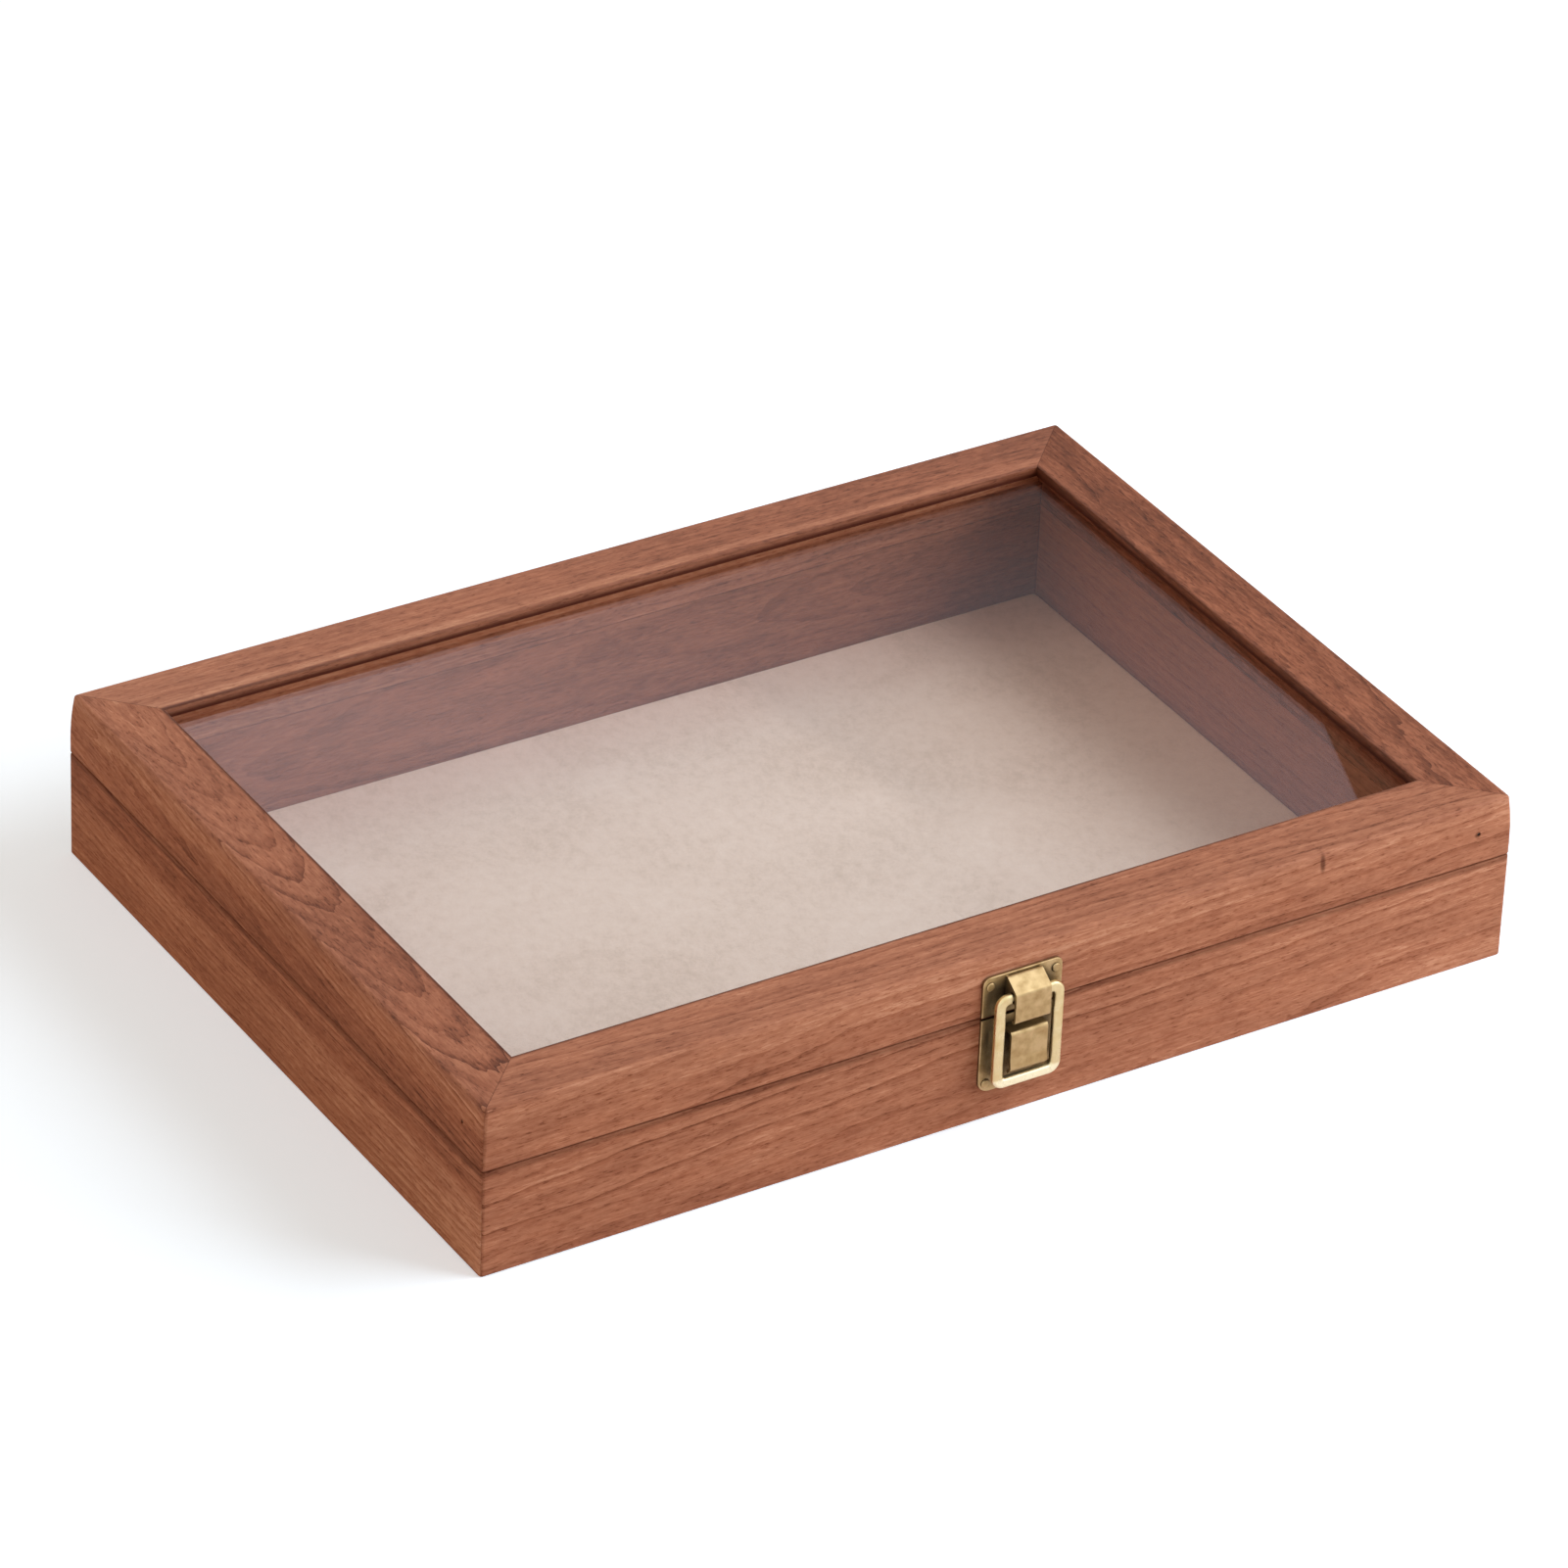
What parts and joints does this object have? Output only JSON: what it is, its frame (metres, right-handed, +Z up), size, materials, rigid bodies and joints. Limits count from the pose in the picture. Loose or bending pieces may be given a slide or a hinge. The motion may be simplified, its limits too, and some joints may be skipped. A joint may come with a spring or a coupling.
{
  "type": "specimen display case",
  "caption": "Shallow mitred wooden case with a lined tray, a hinged glazed lid and a brass loop latch on the front.",
  "frame": {"origin": "centre of the case's underside, on the surface that it stands on", "axes": "+X along the front from left to right, +Y from the latch at the front to the hinges at the back, +Z up"},
  "size_m": [0.35, 0.2601, 0.056],
  "materials": {
    "wood": "oiled reddish brown hardwood",
    "bead": "oiled reddish brown hardwood",
    "panel": "stained plywood",
    "card": "grey board",
    "cloth": "pale short-pile cloth",
    "glass": "clear float glass",
    "brass": "bright plated",
    "steel": "plain wire"
  },
  "bodies": {
    "tray": {"tray_front_wall": "wood", "tray_back_wall": "wood", "tray_left_wall": "wood", "tray_right_wall": "wood", "bottom_panel": "panel", "lining_card": "card", "lining_cloth": "cloth", "left_hinge_tray_leaf": "brass", "right_hinge_tray_leaf": "brass", "left_hinge_pin": "brass", "right_hinge_pin": "brass", "hinge_tray_screws": "brass", "latch_keeper_plate": "brass", "latch_keeper_nails": "brass"},
    "lid": {"lid_front_rail": "wood", "lid_back_rail": "wood", "lid_left_rail": "wood", "lid_right_rail": "wood", "lid_corner_brads": "steel", "glass_pane": "glass", "glass_bead_front": "bead", "glass_bead_back": "bead", "glass_bead_left": "bead", "glass_bead_right": "bead", "left_hinge_lid_leaf": "brass", "right_hinge_lid_leaf": "brass", "hinge_lid_screws": "brass", "latch_lid_plate": "brass", "latch_lid_nails": "brass"},
    "loop": {"latch_loop": "brass"}
  },
  "joints": [
    {"name": "lid_hinge", "type": "hinge", "parent": "tray", "child": "lid", "pos_m": [0, 0.12675, 0.03565], "axis": [-1, 0, 0], "range_deg": [0, 175]},
    {"name": "latch_loop_swing", "type": "hinge", "parent": "lid", "child": "loop", "pos_m": [0.0025, -0.1298, 0.04345], "axis": [-1, 0, 0], "range_deg": [0, 180]}
  ]
}
